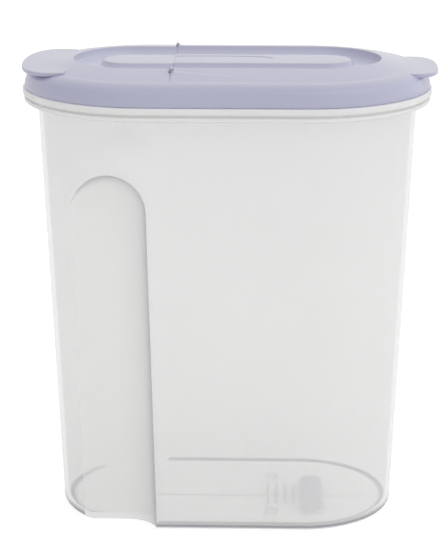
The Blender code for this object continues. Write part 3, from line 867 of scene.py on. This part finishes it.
def lid_hollow():
    """Hollow under the lid, less the deck below the flap."""
    wide = LID_RADIUS - LID_WALL
    narrow = NECK_RADIUS + 2 * SNAP_BEAD
    ridge_z = LID_BOTTOM_Z + LID_EDGE
    rows = ((wide, BELOW_LID_Z),
            (wide, ridge_z),
            (narrow, ridge_z + SNAP_BEAD),
            (narrow, ridge_z + SNAP_BEAD + SNAP_RIDGE_HEIGHT),
            (wide, ridge_z + 2 * SNAP_BEAD + SNAP_RIDGE_HEIGHT),
            (wide, LID_HOLLOW_TOP_Z),
            (NECK_RADIUS + SEAT_PLAY, LID_SEAT_Z),
            (LID_SEAT_RADIUS, LID_SEAT_Z),
            (TOP_EDGE_RADIUS - TAB_THICKNESS / 2, TOP_EDGE_Z - LID_WALL))
    hollow = loft("lid_hollow", [stadium(HALF_RUN, *row) for row in rows] + underside())
    deck = stepped_end("deck", SUMP_RADIUS + DECK_WALL, LEDGE_BLOCK_RADIUS,
                       SUMP_Z - DECK_WALL, LEDGE_Z - DECK_WALL, SEAM_X + DECK_WALL)
    return cut(hollow, "DIFFERENCE", deck)


def deck_pocket():
    """Room for the flap, with the collar of the pour opening left standing."""
    pocket = stepped_end("pocket", SUMP_RADIUS, LEDGE_RADIUS, SUMP_Z, LEDGE_Z, SEAM_X)
    collar = loft("collar", [spout(COLLAR_WALL, BELOW_LID_Z), spout(COLLAR_WALL, COLLAR_TOP_Z)])
    return cut(pocket, "DIFFERENCE", collar)


def soft_slab(name, outline, low_z, high_z, soft=0.0006):
    """Slab with rounded upper and lower edges; outline(grow, z) gives its points."""
    corners = [(-2 * soft, low_z, 0.0), (0.0, low_z, soft), (0.0, high_z, soft),
               (-2 * soft, high_z, 0.0)]
    return loft(name, [outline(point.x, point.y) for point in rounded(corners)])


def lift_tab_outline(grow, z):
    """Outline of the lift tab, grown by the given distance."""
    return oblong(LIFT_TAB_X, LIFT_TAB_HALF_X + grow, LIFT_TAB_HALF_Y + grow,
                  LIFT_TAB_SQUARENESS, z)


def tongue_outline(grow, z):
    """Outline of the thumb tongue, grown by the given distance."""
    return oblong(TONGUE_X, TONGUE_HALF_X + grow, TONGUE_HALF_Y + grow, TONGUE_SQUARENESS, z)


def span_y(side, span):
    """Low and high Y of a span on the front (-1) or rear (+1) side."""
    first, last = side * span[0], side * span[1]
    return min(first, last), max(first, last)


def knuckle(name, side, span, leaf_side):
    """Barrel on the hinge line with a leaf down into the piece that carries it."""
    outline = []
    for step in range(KNUCKLE_STEPS + 1):
        angle = math.pi * (step / KNUCKLE_STEPS + 0.5)
        outline.append((KNUCKLE_RADIUS * math.cos(angle), KNUCKLE_RADIUS * math.sin(angle)))
    outline += [(LEAF_START, -KNUCKLE_RADIUS), (LEAF_START, -LEAF_DEPTH),
                (LEAF_REACH, -LEAF_DEPTH), (LEAF_REACH, -LEAF_TOP),
                (KNUCKLE_RADIUS, -KNUCKLE_RADIUS / 2)]
    sections = [[(HINGE_X + leaf_side * x, y, HINGE_Z + z) for x, z in outline]
                for y in span_y(side, span)]
    return loft(name, sections)


def bore(side):
    """Drill along one hinge line."""
    return rod(f"bore_{side}", BORE_RADIUS, *span_y(side, BORE_SPAN))


def island_inlay():
    """Shallow oval step in the fixed part of the island."""
    sections = [oblong(INLAY_X, INLAY_HALF_X + grow, INLAY_HALF_Y + grow, INLAY_SQUARENESS, z)
                for grow, z in ((-INLAY_EDGE, ISLAND_Z - INLAY_DEPTH), (INLAY_EDGE, FAR))]
    return loft("inlay", sections)


def build_lid():
    """Press-on lid: skirt, top, lift tab, deck, spout collar and fixed knuckles."""
    lid = lid_solid("lid_shell")
    tab = soft_slab("lift_tab", lift_tab_outline, LIFT_TAB_Z - TAB_THICKNESS, LIFT_TAB_Z)
    cut(lid, "UNION", tab)
    room = loft("tongue_room", [tongue_outline(TONGUE_ROOM, TONGUE_Z - TAB_THICKNESS - GAP),
                                tongue_outline(TONGUE_ROOM, FAR)])
    hole = loft("spout_hole", [spout(0.0, BELOW_LID_Z), spout(0.0, FAR)])
    cut(lid, "DIFFERENCE", lid_hollow(), deck_pocket(), room, hole, island_inlay())
    for side in (-1, 1):
        low_y, high_y = span_y(side, KNUCKLE_SPANS[1])
        notch = block("notch", (SEAM_X - NOTCH_REACH, low_y - SEAM_GAP, HINGE_Z - NOTCH_REACH),
                      (SEAM_X + NOTCH_REACH, high_y + SEAM_GAP, FAR))
        cut(lid, "DIFFERENCE", notch)
        knuckles = [knuckle(f"lid_knuckle_{index}", side, KNUCKLE_SPANS[index], 1)
                    for index in (0, 2)]
        cut(lid, "UNION", *knuckles)
        cut(lid, "DIFFERENCE", bore(side))
    coat(lid, lid_plastic("lavender_lid"))
    finish_piece(lid, "lid", "lid_plastic", "lid_body")


# Flap -----------------------------------------------------

def build_flap():
    """Flip-up flap: shell, thumb tongue, plug ring and moving knuckles."""
    right_x = SEAM_X - SEAM_GAP
    edge_z = LEDGE_Z + GAP
    inside = SUMP_RADIUS - 2 * GAP
    flap = stepped_end("flap_shell", inside, LEDGE_RADIUS - SEAM_GAP, FLAP_FLOOR_Z, edge_z,
                       right_x)
    cut(flap, "INTERSECT", lid_solid("flap_top", FLAP_DROP))
    sections = [stadium(HALF_RUN, inside - LID_WALL, z)
                for z in (BELOW_LID_Z, edge_z, TOP_EDGE_Z - LID_WALL / 2)]
    hollow = loft("flap_hollow", sections + underside(FLAP_DROP))
    rib = block("rib", (right_x - LID_WALL, -inside, FLAP_FLOOR_Z), (0.0, inside, FAR))
    cut(hollow, "DIFFERENCE", rib)
    cut(flap, "DIFFERENCE", hollow)

    tongue = soft_slab("tongue", tongue_outline, TONGUE_Z - TAB_THICKNESS, TONGUE_Z)
    cut(tongue, "DIFFERENCE", block("tongue_trim", (TONGUE_ROOT_X, -FAR, -FAR), (FAR, FAR, FAR)))
    plug = loft("plug", [spout(-PLUG_GAP, PLUG_BOTTOM_Z), spout(-PLUG_GAP, FLAP_FLOOR_Z),
                         spout(PLUG_FLANGE, FLAP_FLOOR_Z),
                         spout(PLUG_FLANGE, FLAP_FLOOR_Z + PLUG_ROOT)])
    inner = -PLUG_GAP - PLUG_WALL
    cut(plug, "DIFFERENCE", loft("plug_bore", [spout(inner, BELOW_LID_Z), spout(inner, FAR)]))
    cut(flap, "UNION", tongue, plug)
    for side in (-1, 1):
        for index in (0, 2):
            low_y, high_y = span_y(side, KNUCKLE_SPANS[index])
            notch = block("notch", (HINGE_X - NOTCH_REACH, low_y - SEAM_GAP, HINGE_Z - NOTCH_DEPTH),
                          (0.0, high_y + SEAM_GAP, FAR))
            cut(flap, "DIFFERENCE", notch)
        cut(flap, "UNION", knuckle("flap_knuckle", side, KNUCKLE_SPANS[1], -1))
        cut(flap, "DIFFERENCE", bore(side))
    coat(flap, lid_plastic("lavender_flap"))
    finish_piece(flap, "flap", "flap_plastic", "pour_flap")


# Small pieces ---------------------------------------------

def build_seals():
    """Ring between neck and lid, and flat ring on the collar of the pour opening."""
    material = plastic("seal_rubber", settings().seal_colour, 0.55, grain=700.0, bump=0.05)
    low_z, high_z = NECK_TOP_Z + GAP, LID_SEAT_Z - GAP
    corners = [(SEAL_INNER, low_z, SEAL_ROUND), (SEAL_OUTER, low_z, SEAL_ROUND),
               (SEAL_OUTER, high_z, SEAL_ROUND), (SEAL_INNER, high_z, SEAL_ROUND)]
    profile = [(point.x, point.y) for point in rounded(corners)]
    ring = sweep("lid_seal_ring", profile, NECK_BORE, material)
    finish_piece(ring, "lid", "seal", "lid_seal")
    flat = soft_slab("flap_seal_ring", lambda grow, z: spout(FLAP_SEAL_REACH + grow, z),
                     COLLAR_TOP_Z + GAP, FLAP_FLOOR_Z - GAP, soft=FLAP_SEAL_ROUND)
    inner = -PLUG_GAP + GAP
    cut(flat, "DIFFERENCE", loft("seal_bore", [spout(inner, BELOW_LID_Z), spout(inner, FAR)]))
    coat(flat, material)
    finish_piece(flat, "flap", "seal", "flap_seal")


def build_pins():
    """Two short hinge pins with rounded ends."""
    material = plastic("pin_nylon", (0.74, 0.74, 0.77, 1.0), 0.3)
    for side, place in ((-1, "front"), (1, "rear")):
        low_y, high_y = span_y(side, PIN_SPAN)
        pin = rod(f"pin_{place}", PIN_RADIUS, low_y, high_y, round_end=PIN_END_ROUND)
        coat(pin, material)
        finish_piece(pin, "lid", "hinge_pin", f"hinge_pin_{place}")


# Marks moulded on the floor -------------------------------

def marks_tree():
    """Geometry nodes for a row of like raised bars with round ends."""
    tree, source = new_group("bar_row", "GeometryNodeTree", [
        ("Geometry", "Geometry"), ("Count", "Int", 4), ("Start", "Vector", (0.0, 0.0, 0.0)),
        ("Pitch", "Vector", (BAR_PITCH, 0.0, 0.0)), ("Bar Length", "Float", BAR_SIZE[0]),
        ("Bar Width", "Float", BAR_SIZE[1]), ("Bar Height", "Float", MARK_HEIGHT),
        ("Material", "Material")], [("Geometry", "Geometry")])
    spots = chain(tree, "GeometryNodeMeshLine",
                  {"Count": source["Count"], "Start Location": source["Start"],
                   "Offset": source["Pitch"]})
    outline = chain(tree, "GeometryNodeCurvePrimitiveQuadrilateral",
                    {"Width": source["Bar Width"], "Height": source["Bar Length"]})
    round_off = calculate(tree, "MULTIPLY", source["Bar Width"], 0.45)
    soft = chain(tree, "GeometryNodeFilletCurve",
                 {"Curve": outline, "Radius": round_off, "Count": 5,
                  "Limit Radius": True}, mode="POLY")
    face = chain(tree, "GeometryNodeFillCurve", {"Curve": soft}, mode="NGONS")
    bar = chain(tree, "GeometryNodeExtrudeMesh",
                {"Mesh": face, "Offset Scale": source["Bar Height"],
                 "Individual": False})
    base = chain(tree, "GeometryNodeFlipFaces", {"Mesh": face})
    both = chain(tree, "GeometryNodeJoinGeometry")
    for half in (bar, base):
        tree.links.new(half.outputs[0], both.inputs["Geometry"])
    closed = chain(tree, "GeometryNodeMergeByDistance",
                   {"Geometry": both, "Distance": 1e-5})
    row = chain(tree, "GeometryNodeInstanceOnPoints",
                {"Points": spots, "Instance": closed})
    real = chain(tree, "GeometryNodeRealizeInstances", {"Geometry": row})
    coated = chain(tree, "GeometryNodeSetMaterial",
                   {"Geometry": real, "Material": source["Material"]})
    return deliver(tree, {"Geometry": coated})


def bar_row(name, material, start, count, size):
    """Row of raised bars on the tub's floor."""
    length, width = size
    item = new_object(name, bpy.data.meshes.new(name))
    return run_nodes(item, shared("bar_row", marks_tree),
                     {"Count": count, "Start": start, "Pitch": (BAR_PITCH, 0.0, 0.0),
                      "Bar Length": length, "Bar Width": width, "Bar Height": MARK_HEIGHT,
                      "Material": material})


def build_marks():
    """Plain raised marks on the floor: rings, bars and a blank field, without lettering."""
    material = plastic("mark_plastic", settings().mark_colour, 0.4, grain=600.0, bump=0.02,
                       cloud=0.02)
    bars = bar_row("floor_bars", material, BARS_START, 4, BAR_SIZE)
    finish_piece(bars, "tub", "tub_plastic")
    field = bar_row("floor_block", material, FIELD_START, 1, FIELD_SIZE)
    finish_piece(field, "tub", "tub_plastic")
    for place, y in RING_PLACES:
        ring = floor_ring(f"floor_ring_{place}", y, material)
        finish_piece(ring, "tub", "tub_plastic")


def floor_ring(name, y, material):
    """Thin raised ring on the floor."""
    turns = [2 * math.pi * step / RING_STEPS for step in range(RING_STEPS)]
    inner, outer = RING_RADIUS - RING_HALF_WIDTH, RING_RADIUS + RING_HALF_WIDTH
    shape = bmesh.new()
    loops = []
    for reach, rise in ((inner, 0.0), (outer, 0.0), (outer, MARK_HEIGHT), (inner, MARK_HEIGHT)):
        loops.append([shape.verts.new((RING_X + reach * math.cos(turn),
                                       y + reach * math.sin(turn), MARK_Z + rise))
                      for turn in turns])
    bridge(shape, loops + loops[:1])
    return coat(from_shape(name, shape), material)


# Stage ----------------------------------------------------

def sky():
    """White surround, brighter to the right and a little dimmer overhead."""
    world = bpy.data.worlds.new("sky")
    world.use_nodes = True
    tree = world.node_tree
    aim = tree.nodes.new("ShaderNodeTexCoord").outputs["Generated"]
    lean = chain(tree, "ShaderNodeVectorMath", {0: aim, 1: SKY_LEAN},
                 operation="DOT_PRODUCT")
    level = calculate(tree, "ADD", lean.outputs["Value"], settings().sky_strength)
    back = tree.nodes["Background"]
    back.inputs["Color"].default_value = (1.0, 1.0, 1.0, 1.0)
    tree.links.new(level, back.inputs["Strength"])
    return world


def build_stage():
    """Pale floor, even sky, one large soft light and the camera."""
    values = settings()
    mesh = bpy.data.meshes.new("floor")
    corners = [(FLOOR_HALF * x, FLOOR_HALF * y, FLOOR_Z)
               for x, y in ((-1, -1), (1, -1), (1, 1), (-1, 1))]
    mesh.from_pydata(corners, [], [(0, 1, 2, 3)])
    floor = new_object("floor", mesh)
    paint = plastic("floor_paint", values.floor_colour, 0.9, grain=60.0, bump=0.0, cloud=0.0)
    shader = paint.node_tree.nodes["Principled BSDF"]
    shader.inputs["Emission Color"].default_value = values.floor_colour
    seen = paint.node_tree.nodes.new("ShaderNodeLightPath").outputs["Is Camera Ray"]
    glow = calculate(paint.node_tree, "MULTIPLY", seen, values.floor_glow)
    paint.node_tree.links.new(glow, shader.inputs["Emission Strength"])
    coat(floor, paint)
    bpy.context.scene.world = sky()
    light = bpy.data.lights.new("key", "AREA")
    light.energy = values.key_power
    light.shape = "RECTANGLE"
    light.size, light.size_y = KEY_SIZE
    lamp = bpy.data.objects.new("key", light)
    lamp.location = KEY_PLACE
    aim = Vector(KEY_AIM) - Vector(KEY_PLACE)
    lamp.rotation_euler = aim.to_track_quat("-Z", "Y").to_euler()
    bpy.context.scene.collection.objects.link(lamp)
    camera = bpy.data.objects.new("camera", bpy.data.cameras.new("camera"))
    camera.data.lens = CAMERA_LENS
    camera.location = CAMERA_PLACE
    camera.rotation_euler = (CAMERA_TILT, 0.0, CAMERA_TURN)
    bpy.context.scene.collection.objects.link(camera)
    bpy.context.scene.camera = camera
    bpy.context.scene.view_settings.view_transform = "Standard"


# Add-on ---------------------------------------------------

class BuildStep:
    """What all the operators share: one undoable step of the build."""
    bl_options = {"REGISTER", "UNDO"}

    def execute(self, context):
        self.build()
        return {"FINISHED"}


class CANISTER_OT_stage(BuildStep, bpy.types.Operator):
    """Add the floor, the light and the camera"""
    bl_idname = "canister.stage"
    bl_label = "Stage"
    build = staticmethod(build_stage)


class CANISTER_OT_tub(BuildStep, bpy.types.Operator):
    """Add the tub"""
    bl_idname = "canister.tub"
    bl_label = "Tub"
    build = staticmethod(build_tub)


class CANISTER_OT_lid(BuildStep, bpy.types.Operator):
    """Add the lid"""
    bl_idname = "canister.lid"
    bl_label = "Lid"
    build = staticmethod(build_lid)


class CANISTER_OT_flap(BuildStep, bpy.types.Operator):
    """Add the pour flap"""
    bl_idname = "canister.flap"
    bl_label = "Flap"
    build = staticmethod(build_flap)


class CANISTER_OT_seals(BuildStep, bpy.types.Operator):
    """Add both seals"""
    bl_idname = "canister.seals"
    bl_label = "Seals"
    build = staticmethod(build_seals)


class CANISTER_OT_pins(BuildStep, bpy.types.Operator):
    """Add the hinge pins"""
    bl_idname = "canister.pins"
    bl_label = "Hinge Pins"
    build = staticmethod(build_pins)


class CANISTER_OT_marks(BuildStep, bpy.types.Operator):
    """Add the raised marks on the floor of the tub"""
    bl_idname = "canister.marks"
    bl_label = "Floor Marks"
    build = staticmethod(build_marks)


OPERATORS = [CANISTER_OT_stage, CANISTER_OT_tub, CANISTER_OT_lid, CANISTER_OT_flap,
             CANISTER_OT_seals, CANISTER_OT_pins, CANISTER_OT_marks]


class CANISTER_PT_panel(bpy.types.Panel):
    """Sidebar panel with the settings and one button for each piece."""
    bl_label = "Food Canister"
    bl_idname = "CANISTER_PT_panel"
    bl_space_type = "VIEW_3D"
    bl_region_type = "UI"
    bl_category = "Canister"

    def draw(self, context):
        for name in CANISTER_PG_settings.__annotations__:
            self.layout.prop(context.scene.canister, name)
        for kind in OPERATORS:
            self.layout.operator(kind.bl_idname)


CLASSES = [CANISTER_PG_settings, *OPERATORS, CANISTER_PT_panel]


def register():
    for kind in CLASSES:
        bpy.utils.register_class(kind)
    bpy.types.Scene.canister = PointerProperty(type=CANISTER_PG_settings)


def unregister():
    del bpy.types.Scene.canister
    for kind in reversed(CLASSES):
        bpy.utils.unregister_class(kind)


def main():
    register()
    bpy.ops.canister.stage()
    bpy.ops.canister.tub()
    bpy.ops.canister.lid()
    bpy.ops.canister.flap()
    bpy.ops.canister.seals()
    bpy.ops.canister.pins()
    bpy.ops.canister.marks()


if __name__ == "__main__":
    main()
